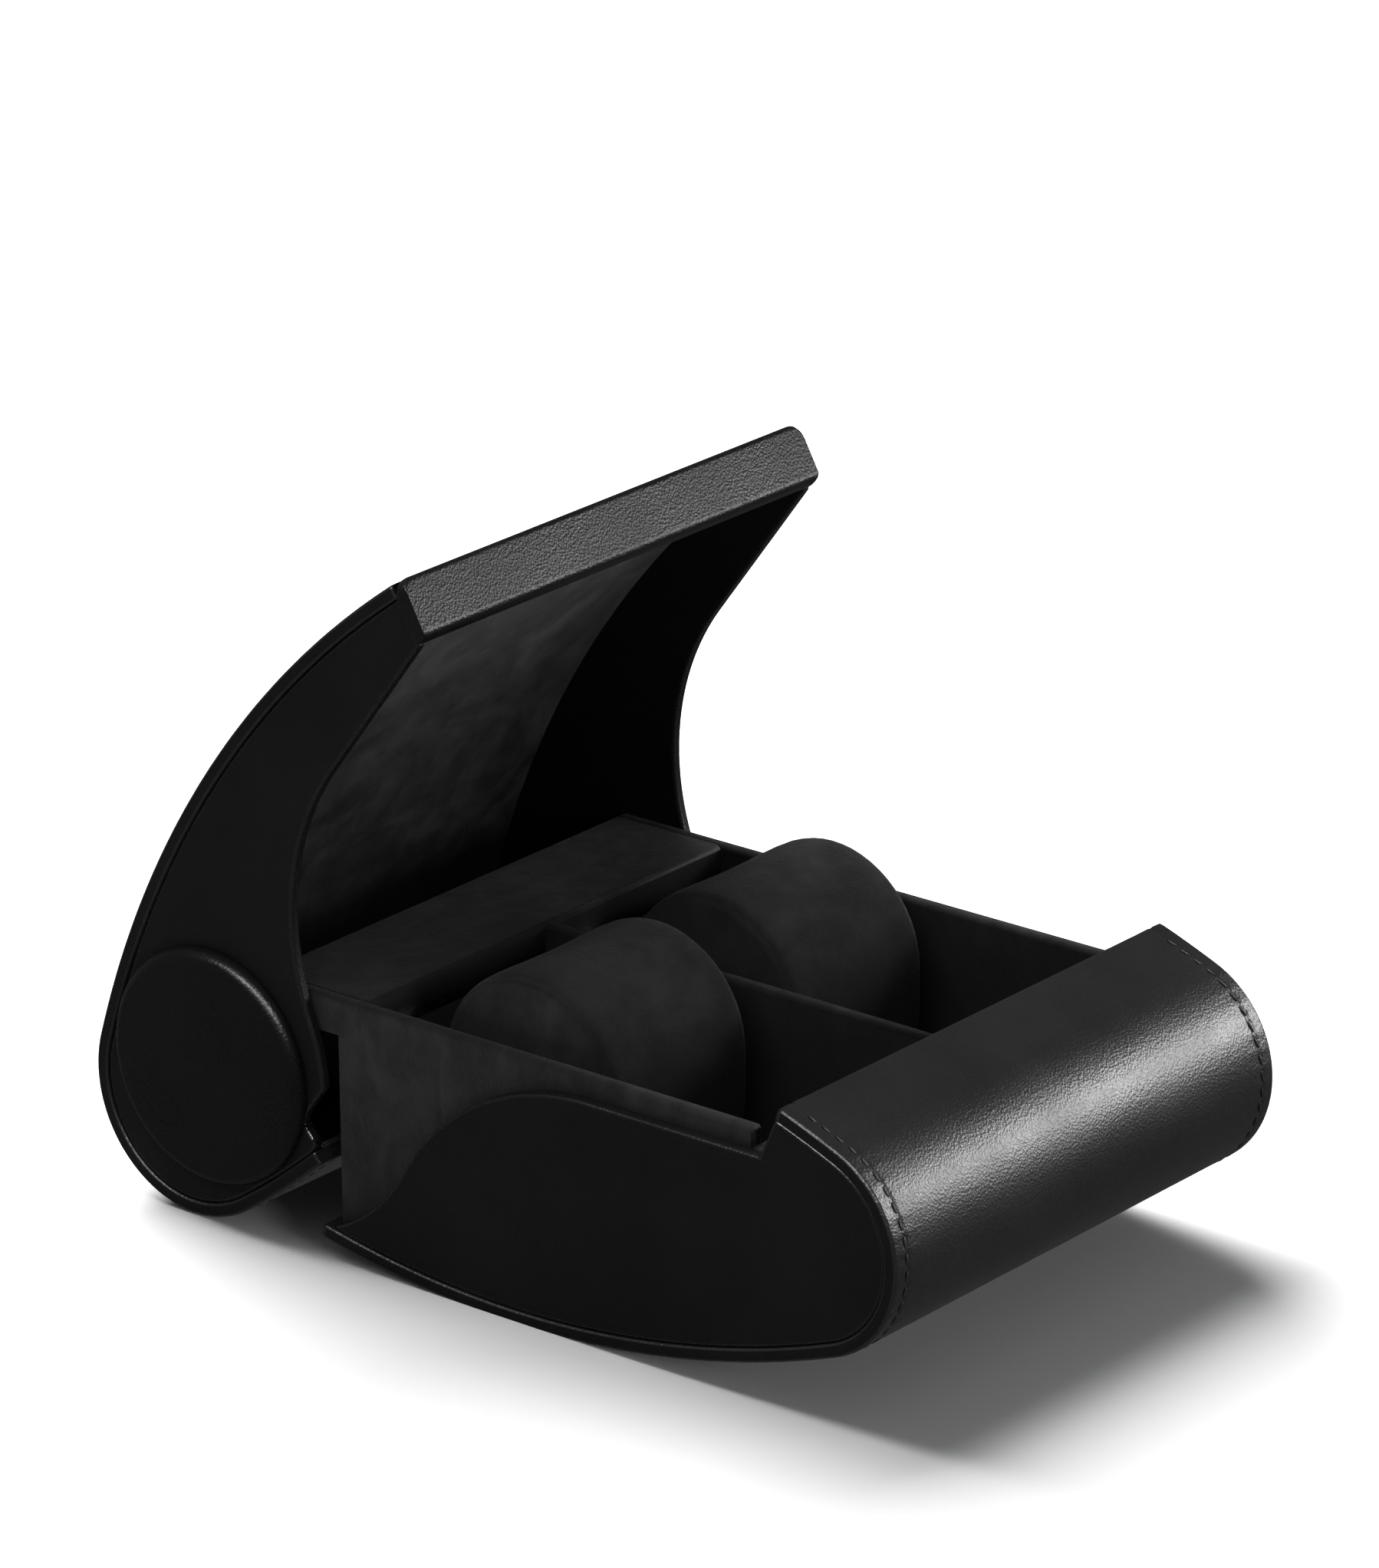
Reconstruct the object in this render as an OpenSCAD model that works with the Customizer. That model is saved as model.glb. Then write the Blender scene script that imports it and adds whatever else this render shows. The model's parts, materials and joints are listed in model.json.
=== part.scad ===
// Double watch case: a pebble-shaped case whose curved lid swings back on two
// concealed pivots, over a suede tray with two compartments and two cushions.
// Side profiles are drawn in (y, z) with the lid closed and the hinge axis at
// the origin: y runs to the rear, z up. Lid pieces are then swung open.

/* [Case] */
// Width over the edges of the two shells
case_w = 116; // [100:1:150]
// Length of the closed case, nose to rear
case_len = 178.6; // [160:0.1:215]
// Radius of the rounded nose
nose_r = 21.9; // [20:0.1:24]
// Radius of the rounded rear
rear_r = 24.4; // [22:0.1:26]
// Height of the crown above the line through the centres of nose and rear
crown_h = 35.7; // [32:0.1:46]
// Depth of the belly below that line
belly_h = 34.8; // [32:0.1:40]
// Depth of the flat that the case stands on, cut from the belly
foot_cut = 0.7; // [0.3:0.05:1.2]

/* [Shells and side panels] */
// Thickness of the leather-covered shells
shell_t = 2.8; // [2:0.1:4]
// Thickness of the lid cheeks and of the base side panels beyond the tray
cheek_t = 2.4; // [2:0.1:4]
// How far cheeks and panels lie inside the edges of the shells
cheek_inset = 0.4; // [0:0.1:1]
// Gap between tray and cheek, side to side
side_gap = 0.4; // [0.3:0.1:1]
// Gap along the parting line of the closed case
seam_gap = 0.5; // [0.3:0.1:1]
// Thickness of the suede lining in the lid
lining_t = 1; // [0.6:0.1:2]

/* [Parting line] */
// Height of the flat parting line above the centres of the two rounds
seam_up = 14.4; // [10:0.1:17]
// Radius of the hollow in the base that the round end of the lid fills
notch_r = 37.9; // [34:0.1:41]
// Hollow's centre ahead of the centre of the rear round
notch_fwd = 4.1; // [0:0.1:6]
// Hollow's centre above the centre of the rear round
notch_up = 7.6; // [5:0.1:10]
// Radius of the shoulder from the hollow up to the flat line
crest_r = 52; // [42:1:60]
// Distance from the front of the nose to the foot of the step
nose_depth = 31.6; // [28:0.1:36]
// Forward lean of the step face from upright
step_lean = 24; // [10:1:30]
// Thickness of the leather strip along the front of the lid
strip_t = 3; // [2.4:0.1:4]
// Thickness of the leather trim on the step face
trim_t = 1.5; // [1:0.1:2.5]

/* [Tray] */
// Thickness of the side walls
wall_t = 3; // [3:0.1:4]
// Height of the rim above the flat parting line
rim_up = 3.8; // [2:0.1:5]
// Length of the rear ledge, front to back
ledge_len = 26.9; // [22:0.1:28]
// Thickness of the rear ledge
ledge_t = 7.3; // [6:0.1:9]
// Thickness of the rear wall
rear_wall_t = 6; // [3:0.1:7]
// Thickness of the floor board
floor_t = 2.5; // [2:0.1:4]
// Depth of the compartments, rim to floor
tray_depth = 39.9; // [36:0.1:40]
// Thickness of the divider
divider_t = 3; // [2:0.1:5]
// Width of the battens under the floor
batten_w = 8; // [5:0.5:12]
// Distance between the battens
batten_pitch = 45; // [30:1:55]

/* [Cushions] */
// Length of a cushion, across the case
cushion_len = 42; // [36:0.5:46]
// Width of a cushion, front to back
cushion_w = 43; // [38:0.5:46]
// Height of a cushion
cushion_h = 51.3; // [46:0.1:52]
// Gap between the cushions and the rear edge of the compartments
cushion_back = 12; // [6:0.5:18]
// Thickness of the suede cover
cover_t = 1.2; // [0.8:0.1:2]

/* [Hinge] */
// Opening angle, from closed to fully open
open_angle = 53; // [40:1:56]
// Hinge axis ahead of the centre of the rear round
hinge_fwd = 1.5; // [0:0.1:3]
// Height of the hinge axis above the inner face of the belly
hinge_up = 2; // [1.9:0.1:2.6]
// Radius on which the two shells part, about the hinge axis
seam_r = 17; // [15:0.1:18]
// Radius of the pivot stud
stud_r = 1.4; // [1.2:0.05:1.7]
// Running clearance of the stud in its bore
run_fit = 0.05; // [0.02:0.01:0.1]
// Thickness of the hinge bracket
bracket_t = 2; // [1.5:0.1:2.5]
// Radius of the bracket's round lower end
ear_r = 2.6; // [2.4:0.1:2.8]
// Width of the bracket's upper plate
bracket_w = 12; // [9:0.5:16]
// Bracket's edge beyond its screw heads
bracket_edge = 0.2; // [0.2:0.1:0.6]
// Thickness of the hinge plate let into the cheek
plate_t = 1; // [0.8:0.1:1.4]
// Radius of the hinge plate's upper end
plate_r = 6; // [5:0.1:8]
// Length of the hinge plate, centre to centre
plate_len = 17; // [12:0.5:20]
// Direction of the hinge plate from the axis, up from the rear
plate_dir = 110; // [95:1:120]
// Plate's edge around the foot of the stud
plate_edge = 0.25; // [0.2:0.05:0.3]
// Thickness of the clip on the stud
clip_t = 0.8; // [0.5:0.1:1]
// How much smaller the clip is than the bracket's round end
clip_step = 0.4; // [0.2:0.1:0.6]
// How far the stud stands out past its clip
stud_tip = 0.4; // [0.2:0.1:0.6]
// Free space around moving hinge pieces
hinge_clear = 0.45; // [0.4:0.05:0.55]
// Axial clearance on each side of the washer
washer_play = 0.05; // [0.03:0.01:0.15]
// Radius of the screws in the hinge
screw_r = 1; // [0.8:0.1:1.2]
// Radius of the screw heads
screw_head_r = 1.9; // [1.6:0.1:2]
// Thickness of the screw heads
screw_head_t = 0.8; // [0.6:0.1:1]
// Length of the bracket screws
screw_len = 10; // [6:1:14]
// How deep the plate screws go into the cheek beyond the plate
plate_screw_bite = 1; // [0.5:0.1:1.2]
// Clearance around screws and magnets in their holes
seat_fit = 0.05; // [0.02:0.01:0.15]

/* [Pads and magnets] */
// Radius of the padded disc on each cheek
pad_r = 23.8; // [20:0.1:24]
// Thickness of the padded disc
pad_t = 3.4; // [2:0.1:5]
// Radius of the disc's rounded edge
pad_edge_r = 2.2; // [1:0.1:3]
// Disc's centre ahead of the hinge axis, lid closed
pad_fwd = 8.4; // [7:0.1:12]
// Radius of the magnets
magnet_r = 3; // [2:0.1:3.4]
// Height of the magnets' centres up the step face
magnet_up = 4.4; // [4:0.1:5]
// Thickness of the magnets
magnet_t = 2; // [1:0.1:2.2]
// Distance between the two magnets of a pair
magnet_pitch = 60; // [30:1:80]

/* [Hidden] */
$fn = 96;
eps = 0.01;
arc_steps = 24;
// Larger than the case in every direction, for cutting
far = 2 * case_len;

// Layers across the case, from the middle outwards
shell_x = case_w / 2;
cheek_x = shell_x - cheek_inset;
cheek_in = cheek_x - cheek_t;
tray_x = cheek_in - side_gap;
wall_in = tray_x - wall_t;

// Radii of the crown and the belly, which touch both end rounds
span = case_len - rear_r - nose_r;
end_r = (nose_r + rear_r) / 2;
function rise_r(h) = (h * h + span * span / 4 - end_r * end_r) / (2 * (h - end_r));
crown_r = rise_r(crown_h);
belly_r = rise_r(belly_h);
// Centre of an arc of radius r: how far ahead of the rear round's centre, and how far off the
// line through both centres
function ahead(r) =
    (pow(r - rear_r, 2) - pow(r - nose_r, 2) + span * span) / (2 * span);
function off(r) = sqrt(pow(r - rear_r, 2) - pow(ahead(r), 2));

// The hinge axis lies hinge_up above the inner face of the belly
axis_r = belly_r - shell_t - hinge_up;
hinge_drop = sqrt(pow(axis_r, 2) - pow(hinge_fwd - ahead(belly_r), 2)) - off(belly_r);

// Centres of the four arcs
rear_c = [hinge_fwd, hinge_drop];
nose_c = [hinge_fwd - span, hinge_drop];
crown_c = [hinge_fwd - ahead(crown_r), hinge_drop - off(crown_r)];
belly_c = [hinge_fwd - ahead(belly_r), hinge_drop + off(belly_r)];
seam_z = hinge_drop + seam_up;
function heading(from, to) = atan2(to.y - from.y, to.x - from.x);
function arc(c, r, a0, a1) =
    [for (i = [0:arc_steps]) let (a = a0 + (a1 - a0) * i / arc_steps) c + r * [cos(a), sin(a)]];

// Parting line: flat, shoulder, hollow and step
step_y = nose_c.x - nose_r + nose_depth;
notch_c = [rear_c.x - notch_fwd, rear_c.y + notch_up];
crest_z = seam_z - crest_r;
crest_y = notch_c.x - sqrt(pow(notch_r + crest_r, 2) - pow(notch_c.y - crest_z, 2));
// Height at which hollow and shoulder touch
meet_z = notch_c.y - (notch_c.y - crest_z) * notch_r / (notch_r + crest_r);

// Tray
rim_z = seam_z + rim_up;
floor_z = rim_z - tray_depth;
tray_front = step_y + strip_t / cos(step_lean) + side_gap * 2;
rear_wall_y = -seam_r - side_gap - seam_gap / 2;
tray_back = rear_wall_y - rear_wall_t;
ledge_y = tray_back + ledge_len;
ledge_z = rim_z - ledge_t;
foot_z = belly_c.y - belly_r + foot_cut;
batten_y = (tray_front + tray_back) / 2;

// Cushions
cushion_r = cushion_w / 2;
cushion_y = tray_back - cushion_back - cushion_r;
cushion_x = (wall_in + divider_t / 2) / 2;

// Hinge
bracket_x = wall_in + bracket_t;
bracket_head = [-bracket_w / 2, ledge_z + ledge_t / 2];
bracket_reach = ledge_t / 2 + screw_head_r + seat_fit + bracket_edge;
screw_gap = bracket_w / 2;
plate_end = plate_len * [cos(plate_dir), sin(plate_dir)];
plate_screw_r = screw_r / 2;
// Places of the plate screws, as fractions of the plate's length
plate_screws_at = [0.55, 1.1];
clip_r = ear_r - clip_step;
clip_x = wall_in - 2 * washer_play;
stud_end = clip_x - clip_t - stud_tip;

// Disc on the cheek
pad_c = [-pad_fwd, rear_c.y];

// Place of the whole case: standing on z = 0, middle of the open case at the origin
open_rear_y = rear_c.x * cos(open_angle) + rear_c.y * sin(open_angle) + rear_r;
place = [0, -(open_rear_y + nose_c.x - nose_r) / 2, -foot_z];

// ---- placing helpers ----

// Draws a (y, z) profile as a slab from x0 to x1
module slab(x0, x1) {
    translate([x0, 0, 0])
        rotate([90, 0, 90])
            linear_extrude(x1 - x0)
                children();
}

module on_side(side) {
    if (side > 0)
        children();
    else
        mirror([1, 0, 0])
            children();
}

module both_sides() {
    for (side = [-1, 1])
        on_side(side)
            children();
}

module in_base() {
    translate(place)
        children();
}

module in_lid() {
    translate(place)
        rotate([-open_angle, 0, 0])
            children();
}

// ---- profiles, lid closed ----

// The pebble outline, moved inwards by t
module outline(t = 0) {
    a_rear_low = heading(belly_c, rear_c);
    a_rear_top = heading(crown_c, rear_c);
    a_nose_top = heading(crown_c, nose_c);
    a_nose_low = heading(belly_c, nose_c) + 360;
    polygon(concat(
        arc(rear_c, rear_r - t, a_rear_low, a_rear_top),
        arc(crown_c, crown_r - t, a_rear_top, a_nose_top),
        arc(nose_c, nose_r - t, a_nose_top, a_nose_low),
        arc(belly_c, belly_r - t, a_nose_low, a_rear_low + 360)
    ));
}

// A ring of the outline, between t0 and t1 inside it
module band(t0, t1) {
    difference() {
        outline(t0);
        outline(t1);
    }
}

// Everything ahead of the step face, the face moved to the rear by g
module ahead_of_step(g = 0) {
    translate([step_y + g / cos(step_lean), seam_z])
        rotate(step_lean)
            translate([-far, -far])
                square([far, 2 * far]);
}

// What belongs to the base's sides; g moves the parting line towards the lid
module base_zone(g = 0) {
    intersection() {
        ahead_of_step(g);
        translate([-far, seam_z - far])
            square([2 * far, 2 * far]);
    }
    difference() {
        union() {
            translate([crest_y - far, seam_z + g - far])
                square([far, far]);
            translate([crest_y, crest_z])
                circle(crest_r + g);
            translate([crest_y - eps, meet_z - far])
                square([far, far]);
        }
        translate(notch_c)
            circle(notch_r - g);
    }
}

// What belongs to the base's shell; g moves both seams towards the lid
module base_shell_zone(g = 0) {
    difference() {
        union() {
            intersection() {
                ahead_of_step(g);
                translate([-far, nose_c.y])
                    square([far, far]);
            }
            translate([-far, nose_c.y - far])
                square([far, far + eps]);
        }
        circle(seam_r + seam_gap / 2 - g);
    }
}

module under(z) {
    translate([0, z])
        translate([-far, -far])
            square([2 * far, far]);
}

module above(z) {
    translate([-far, z])
        square([2 * far, far]);
}

module between_y(y0, y1) {
    translate([y0, -far])
        square([y1 - y0, 2 * far]);
}

// Round piece along x, centred on the (y, z) point c
module rod(c, r, x0, x1) {
    translate([x0, c.x, c.y])
        rotate([0, 90, 0])
            cylinder(h = x1 - x0, r = r);
}

// ---- base ----

module base_shell() {
    color("#141414")
        in_base()
            slab(-shell_x, shell_x)
                difference() {
                    intersection() {
                        band(0, shell_t);
                        base_shell_zone();
                        above(foot_z);
                    }
                    // room for the strip that closes the front of the lid
                    intersection() {
                        above(nose_c.y);
                        translate([step_y, seam_z])
                            rotate(step_lean)
                                translate([0, -far])
                                    square([far, 2 * far]);
                    }
                }
}

module base_side_panel(side) {
    color("#101010")
        in_base()
            on_side(side)
                slab(tray_x, cheek_x)
                    difference() {
                        intersection() {
                            outline(shell_t);
                            base_zone();
                        }
                        circle(seam_r + seam_gap / 2);
                    }
}

// The former that fills the nose; its face lies trim_t behind the step face
module nose_core() {
    color("#6b5237")
        in_base()
            difference() {
                slab(-tray_x, tray_x)
                    intersection() {
                        outline(shell_t);
                        ahead_of_step(-trim_t);
                        between_y(-far, step_y);
                    }
                magnets(-trim_t - magnet_t, magnet_t + far, magnet_r + seat_fit);
            }
}

module nose_trim() {
    color("#161616")
        in_base()
            slab(-tray_x, tray_x)
                difference() {
                    intersection() {
                        outline(shell_t);
                        ahead_of_step();
                        above(seam_z);
                    }
                    ahead_of_step(-trim_t);
                }
}

// Two cylinders square to the step face: from depth d behind it, h long
module magnets(d, h, r) {
    for (x = [-1, 1] * magnet_pitch / 2)
        translate([x, step_y, seam_z])
            rotate([step_lean, 0, 0])
                translate([0, d, magnet_up])
                    rotate([-90, 0, 0])
                        cylinder(h = h, r = r);
}

module base_magnets() {
    color("#c9ccd1")
        in_base()
            magnets(-trim_t - magnet_t, magnet_t, magnet_r);
}

module tray_side(side) {
    color("#2b2c30")
        in_base()
            on_side(side)
                difference() {
                    slab(wall_in, tray_x)
                        intersection() {
                            outline(shell_t);
                            union() {
                                intersection() {
                                    under(rim_z);
                                    between_y(tray_front, rear_wall_y);
                                }
                                intersection() {
                                    under(rim_z);
                                    above(ledge_z);
                                    between_y(tray_back, ledge_y);
                                }
                            }
                        }
                    // pocket that the hinge bracket is let into, and room for its screw heads
                    slab(wall_in - eps, bracket_x)
                        bracket_profile();
                    for (c = screw_places())
                        rod(c, screw_head_r + seat_fit, bracket_x - eps, bracket_x + screw_head_t / 2);
                }
}

module tray_front_wall() {
    color("#2b2c30")
        in_base()
            slab(-tray_x, tray_x)
                intersection() {
                    outline(shell_t);
                    under(seam_z);
                    between_y(step_y, tray_front);
                }
}

module tray_rear_wall() {
    color("#2b2c30")
        in_base()
            slab(-wall_in, wall_in)
                intersection() {
                    outline(shell_t);
                    under(ledge_z);
                    between_y(tray_back, rear_wall_y);
                }
}

module tray_ledge() {
    color("#2b2c30")
        in_base()
            difference() {
                slab(-wall_in, wall_in)
                    translate([tray_back, ledge_z])
                        square([ledge_len, ledge_t]);
                both_sides()
                    for (c = screw_places())
                        rod(c, screw_r + seat_fit, wall_in - screw_len - seat_fit, wall_in + eps);
            }
}

module tray_divider() {
    color("#2b2c30")
        in_base()
            slab(-divider_t / 2, divider_t / 2)
                translate([tray_front, floor_z])
                    square([tray_back - tray_front, rim_z - floor_z]);
}

module tray_floor() {
    color("#26272b")
        in_base()
            slab(-wall_in, wall_in)
                intersection() {
                    outline(shell_t);
                    translate([tray_front, floor_z - floor_t])
                        square([tray_back - tray_front, floor_t]);
                }
}

module floor_battens() {
    color("#6b5237")
        in_base()
            for (y = [-1, 1] * batten_pitch / 2)
                slab(-wall_in, wall_in)
                    intersection() {
                        outline(shell_t);
                        under(floor_z - floor_t);
                        between_y(batten_y + y - batten_w / 2, batten_y + y + batten_w / 2);
                    }
}

// ---- hinge, base half ----

function screw_places() = [for (y = [-1, 1] * screw_gap / 2) bracket_head + [y, 0]];

module bracket_profile() {
    hull() {
        circle(ear_r);
        translate([bracket_head.x - bracket_w / 2, ledge_z])
            square([bracket_w, eps]);
    }
    translate([bracket_head.x - bracket_w / 2, ledge_z])
        square([bracket_w, bracket_reach]);
}

module hinge_bracket(side) {
    color("#b9bcc0")
        in_base()
            on_side(side)
                difference() {
                    slab(wall_in, bracket_x)
                        bracket_profile();
                    rod([0, 0], stud_r + run_fit, wall_in - eps, bracket_x + eps);
                    for (c = screw_places())
                        rod(c, screw_r + seat_fit, wall_in - eps, bracket_x + eps);
                    for (c = screw_places())
                        rod(c, screw_head_r + seat_fit, bracket_x - screw_head_t / 2, bracket_x + eps);
                }
}

module bracket_screws() {
    color("#8f9296")
        in_base()
            both_sides()
                for (c = screw_places()) {
                    rod(c, screw_r, wall_in - screw_len, bracket_x);
                    rod(c, screw_head_r, bracket_x - screw_head_t / 2, bracket_x + screw_head_t / 2);
                }
}

module hinge_washers() {
    color("#e8e4da")
        in_base()
            both_sides()
                difference() {
                    rod([0, 0], ear_r, bracket_x + washer_play, cheek_in - washer_play);
                    rod([0, 0], stud_r + run_fit, bracket_x, cheek_in);
                }
}

// ---- lid ----

// Room in the lid for the bracket's round end, the washer and the clip, wider by g
module hinge_room(g = 0) {
    both_sides()
        rod([0, 0], ear_r + hinge_clear + g, stud_end - hinge_clear, cheek_in);
}

module behind_strip() {
    difference() {
        translate([-far, -far])
            square(2 * far);
        ahead_of_step(seam_gap + strip_t);
    }
}

module lid_shell() {
    color("#141414")
        in_lid()
            difference() {
                slab(-shell_x, shell_x)
                    difference() {
                        intersection() {
                            band(0, shell_t);
                            union() {
                                intersection() {
                                    behind_strip();
                                    above(nose_c.y);
                                }
                                translate([0, -far])
                                    square(2 * far);
                                circle(seam_r - seam_gap / 2);
                            }
                        }
                        intersection() {
                            between_y(-far, 0);
                            under(nose_c.y);
                            base_shell_zone(seam_gap);
                        }
                    }
                hinge_room();
            }
}

module lid_lining() {
    color("#2b2c30")
        in_lid()
            difference() {
                slab(-cheek_in, cheek_in)
                    intersection() {
                        band(shell_t, shell_t + lining_t);
                        union() {
                            intersection() {
                                behind_strip();
                                above(seam_z + seam_gap);
                            }
                            translate([0, -far])
                                square(2 * far);
                            circle(seam_r - seam_gap / 2);
                        }
                    }
                hinge_room(lining_t);
            }
}

module lid_cheek(side) {
    color("#101010")
        in_lid()
            on_side(side)
                difference() {
                    slab(cheek_in, cheek_x)
                        difference() {
                            intersection() {
                                outline(shell_t);
                                behind_strip();
                                union() {
                                    above(seam_z + seam_gap);
                                    translate(notch_c)
                                        circle(notch_r);
                                    between_y(crest_y, far);
                                }
                            }
                            base_zone(seam_gap);
                            difference() {
                                between_y(-far, 0);
                                above(0);
                                circle(seam_r - seam_gap / 2);
                            }
                        }
                    slab(cheek_in - eps, cheek_in + plate_t)
                        plate_profile();
                    for (c = plate_screw_places())
                        rod(c, plate_screw_r + seat_fit, cheek_in, cheek_in + plate_t + plate_screw_bite);
                }
}

module lid_front_strip() {
    color("#161616")
        in_lid()
            difference() {
                slab(-shell_x, shell_x)
                    difference() {
                        intersection() {
                            outline();
                            ahead_of_step(seam_gap + strip_t);
                            above(seam_z + seam_gap);
                        }
                        ahead_of_step(seam_gap);
                    }
                magnets(seam_gap + strip_t - magnet_t, magnet_t + eps, magnet_r + seat_fit);
            }
}

module lid_magnets() {
    color("#c9ccd1")
        in_lid()
            magnets(seam_gap + strip_t - magnet_t, magnet_t, magnet_r);
}

// ---- hinge, lid half ----

function plate_screw_places() = [for (k = plate_screws_at) plate_end * k];

module plate_profile() {
    hull() {
        circle(stud_r + plate_edge);
        translate(plate_end)
            circle(plate_r);
    }
}

module hinge_plate(side) {
    color("#b9bcc0")
        in_lid()
            on_side(side)
                difference() {
                    union() {
                        slab(cheek_in, cheek_in + plate_t)
                            plate_profile();
                        rod([0, 0], stud_r, stud_end, cheek_in + plate_t / 2);
                    }
                    for (c = plate_screw_places())
                        rod(c, plate_screw_r + seat_fit, cheek_in - eps, cheek_in + plate_t + eps);
                }
}

module plate_screws() {
    color("#8f9296")
        in_lid()
            both_sides()
                for (c = plate_screw_places())
                    rod(c, plate_screw_r, cheek_in, cheek_in + plate_t + plate_screw_bite);
}

module stud_clips() {
    color("#8f9296")
        in_lid()
            both_sides()
                difference() {
                    rod([0, 0], clip_r, clip_x - clip_t, clip_x);
                    rod([0, 0], stud_r, stud_end - eps, wall_in);
                }
}

// Padded disc: a flat face with a rounded edge, turned about its own axis
module pivot_pad(side) {
    color("#121212")
        in_lid()
            on_side(side)
                translate([cheek_x, pad_c.x, pad_c.y])
                    rotate([0, 90, 0])
                        rotate_extrude()
                            polygon(concat(
                                [[0, 0], [pad_r, 0]],
                                arc([pad_r - pad_edge_r, pad_t - pad_edge_r], pad_edge_r, 0, 90),
                                [[0, pad_t]]
                            ));
}

// ---- cushions ----

// Upright section with round top and bottom, moved inwards by t
module cushion_profile(t = 0) {
    low = floor_z + cushion_r;
    high = floor_z + cushion_h - cushion_r;
    for (z = [low, high])
        translate([cushion_y, z])
            circle(cushion_r - t);
    translate([cushion_y - cushion_r + t, low])
        square([cushion_w - 2 * t, high - low]);
}

module cushion_slab(side, x0, x1) {
    in_base()
        on_side(side)
            slab(cushion_x + x0, cushion_x + x1)
                children();
}

module cushion_core(side) {
    reach = cushion_len / 2 - cover_t;
    color("#8d8a84")
        cushion_slab(side, -reach, reach)
            cushion_profile(cover_t);
}

module cushion_cover(side) {
    reach = cushion_len / 2 - cover_t;
    color("#2f3035")
        cushion_slab(side, -reach, reach)
            difference() {
                cushion_profile();
                cushion_profile(cover_t);
            }
}

module cushion_ends(side) {
    reach = cushion_len / 2;
    color("#2b2c31")
        for (x = [-reach, reach - cover_t])
            cushion_slab(side, x, x + cover_t)
                cushion_profile();
}

base_shell();
base_side_panel(-1);  // base_side_panel_left
base_side_panel(1);  // base_side_panel_right
nose_core();
nose_trim();
tray_side(-1);  // tray_side_left
tray_side(1);  // tray_side_right
tray_front_wall();
tray_rear_wall();
tray_ledge();
tray_divider();
tray_floor();
floor_battens();
hinge_bracket(-1);  // hinge_bracket_left
hinge_bracket(1);  // hinge_bracket_right
bracket_screws();
hinge_washers();
base_magnets();
lid_shell();
lid_lining();
lid_cheek(-1);  // lid_cheek_left
lid_cheek(1);  // lid_cheek_right
lid_front_strip();
hinge_plate(-1);  // hinge_plate_left
hinge_plate(1);  // hinge_plate_right
plate_screws();
stud_clips();
lid_magnets();
pivot_pad(-1);  // pivot_pad_left
pivot_pad(1);  // pivot_pad_right
cushion_core(-1);  // cushion_core_left
cushion_cover(-1);  // cushion_cover_left
cushion_ends(-1);  // cushion_ends_left
cushion_core(1);  // cushion_core_right
cushion_cover(1);  // cushion_cover_right
cushion_ends(1);  // cushion_ends_right
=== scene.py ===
"""Leather, suede, thread and metal of a double watch case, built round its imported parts."""

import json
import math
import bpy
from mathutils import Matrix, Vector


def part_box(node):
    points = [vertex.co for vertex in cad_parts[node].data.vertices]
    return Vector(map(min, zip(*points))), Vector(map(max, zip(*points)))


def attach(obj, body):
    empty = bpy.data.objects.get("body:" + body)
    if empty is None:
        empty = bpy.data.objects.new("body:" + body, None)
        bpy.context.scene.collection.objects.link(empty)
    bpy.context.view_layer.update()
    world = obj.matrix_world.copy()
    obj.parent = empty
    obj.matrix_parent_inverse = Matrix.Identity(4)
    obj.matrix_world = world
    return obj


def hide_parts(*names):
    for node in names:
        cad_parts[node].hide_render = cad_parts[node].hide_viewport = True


bl_info = {
    "name": "Double Watch Case",
    "version": (1, 0, 0),
    "blender": (4, 5, 0),
    "location": "View3D > Sidebar > Watch Case",
    "description": "Builds the leather, suede and metal pieces of a double watch case",
    "category": "Object",
}

import bmesh
import bpy
from bpy.props import FloatProperty, FloatVectorProperty, PointerProperty
from mathutils import Matrix, Vector
from mathutils.bvhtree import BVHTree

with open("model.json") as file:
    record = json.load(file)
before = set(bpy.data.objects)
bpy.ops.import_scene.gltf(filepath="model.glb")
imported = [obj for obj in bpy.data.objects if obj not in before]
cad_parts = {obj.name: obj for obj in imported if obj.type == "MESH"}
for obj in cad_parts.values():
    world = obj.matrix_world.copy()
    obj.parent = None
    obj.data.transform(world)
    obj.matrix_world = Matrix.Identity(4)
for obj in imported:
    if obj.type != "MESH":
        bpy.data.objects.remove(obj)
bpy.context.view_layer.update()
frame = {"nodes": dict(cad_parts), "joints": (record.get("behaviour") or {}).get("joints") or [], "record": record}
NODES = frame["nodes"]
HINGE = next(j for j in frame["joints"] if j["name"] == "lid_hinge")
AXIS = Vector(HINGE["pos_m"])
OPENING = math.radians(HINGE["range_deg"][1])

MM = 0.001
SAME = 0.01 * MM
WELD = 0.002 * MM
FLAT = math.radians(1)
SHARP = math.radians(32)
SIDES = {"left": -1, "right": 1}
IN_BASE = Matrix.Translation(AXIS)
IN_LID = Matrix.Translation(AXIS) @ Matrix.Rotation(-OPENING, 4, "X")


def length(name, description, default, low, high):
    return FloatProperty(
        name=name,
        description=description,
        default=default * MM,
        min=low * MM,
        max=high * MM,
        unit="LENGTH",
        precision=5,
    )


def colour(name, description, default):
    return FloatVectorProperty(
        name=name,
        description=description,
        default=default,
        subtype="COLOR",
        min=0,
        max=1,
    )


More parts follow.
